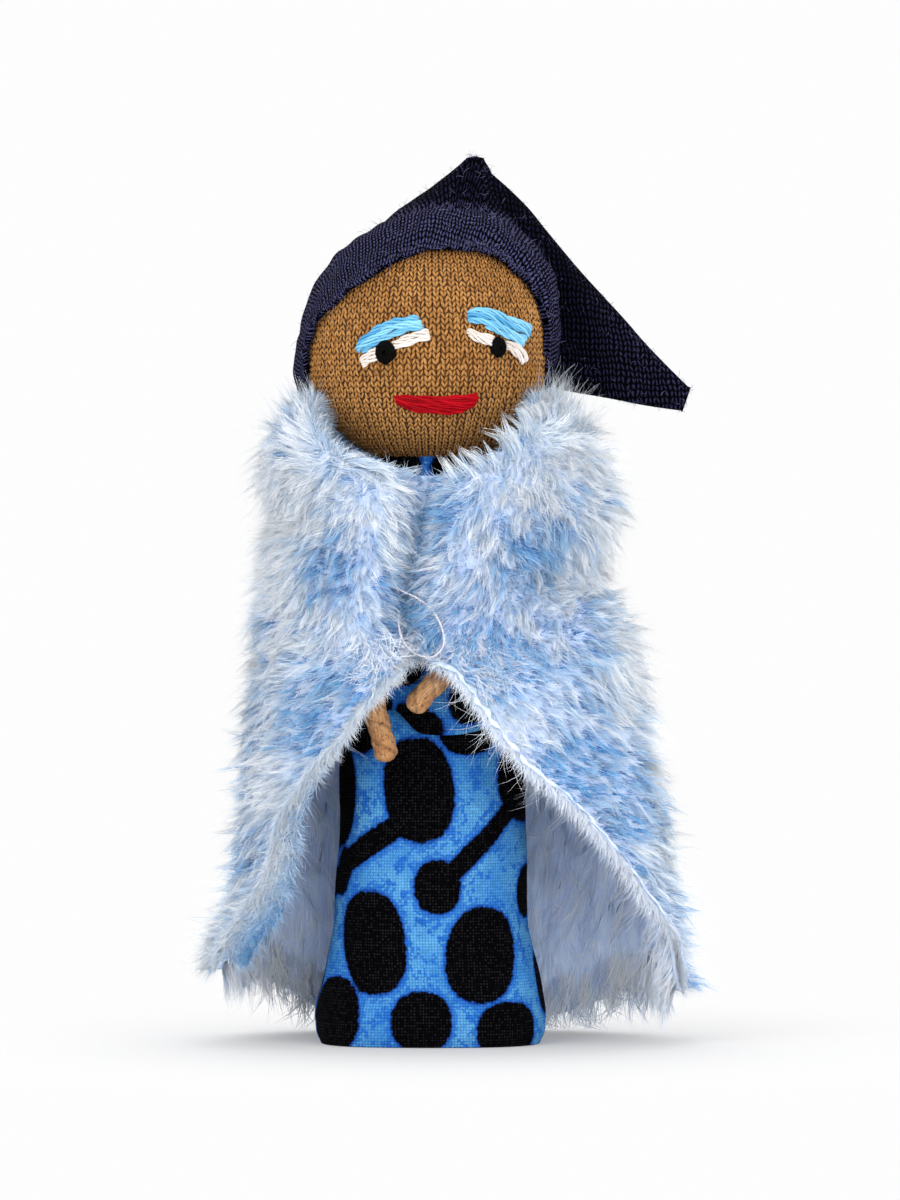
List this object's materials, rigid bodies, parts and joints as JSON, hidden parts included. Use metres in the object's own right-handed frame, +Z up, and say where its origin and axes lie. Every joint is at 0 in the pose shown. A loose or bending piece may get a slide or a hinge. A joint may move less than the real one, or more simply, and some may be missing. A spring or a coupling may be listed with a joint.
{
  "type": "worry doll",
  "caption": "Small standing cloth doll with a knitted ball head, stitched face, tailed jersey hood, fur cape and paper-wrapped wire arms.",
  "frame": {"origin": "middle of the flat base that the doll stands on", "axes": "+Z up the doll, -Y the way its face looks, +X to the right as seen from the front"},
  "size_m": [0.064, 0.0446, 0.1148],
  "materials": {
    "printed_cotton": "plain weave cotton, blue with black spots",
    "card": "grey-brown board",
    "stuffing": "loose white fibre",
    "stick_wood": "plain birch",
    "wire": "soft craft wire",
    "tan_knit": "fine single jersey, tan brown",
    "tan_thread": "sewing thread",
    "blue_floss": "stranded embroidery cotton, sky blue",
    "white_floss": "stranded embroidery cotton, white",
    "black_floss": "stranded embroidery cotton, black",
    "red_floss": "stranded embroidery cotton, red",
    "navy_jersey": "single jersey, dark navy",
    "blue_fur": "long-pile fake fur, pale blue with white tips",
    "white_thread": "sewing thread",
    "brown_paper": "twisted brown paper"
  },
  "bodies": {
    "doll_body": {"skirt": "printed_cotton", "bodice": "printed_cotton", "base_card": "card", "body_stuffing": "stuffing", "neck_stick": "stick_wood", "shoulder_wire": "wire", "fur_cape": "blue_fur", "cape_tie": "white_thread"},
    "head": {"head_cover": "tan_knit", "head_stuffing": "stuffing", "neck_thread": "tan_thread", "left_brow": "blue_floss", "right_brow": "blue_floss", "left_eye_outer_stitch": "white_floss", "left_eye_inner_stitch": "white_floss", "right_eye_inner_stitch": "white_floss", "right_eye_outer_stitch": "white_floss", "left_pupil": "black_floss", "right_pupil": "black_floss", "mouth": "red_floss", "hood": "navy_jersey"},
    "left_arm": {"left_arm_paper": "brown_paper", "left_arm_wire": "wire"},
    "right_arm": {"right_arm_paper": "brown_paper", "right_arm_wire": "wire"}
  },
  "joints": [
    {"name": "head_turn", "type": "hinge", "parent": "doll_body", "child": "head", "pos_m": [-0.0007, 0, 0.0899], "axis": [0, 0, 1], "range_deg": [-20, 20]},
    {"name": "left_arm_bend", "type": "hinge", "parent": "doll_body", "child": "left_arm", "pos_m": [-0.01357, 0.0024, 0.066], "axis": [0, 1, 0], "range_deg": [-4, 8]},
    {"name": "right_arm_bend", "type": "hinge", "parent": "doll_body", "child": "right_arm", "pos_m": [0.01229, 0.0024, 0.066], "axis": [0, 1, 0], "range_deg": [-8, 4]}
  ]
}
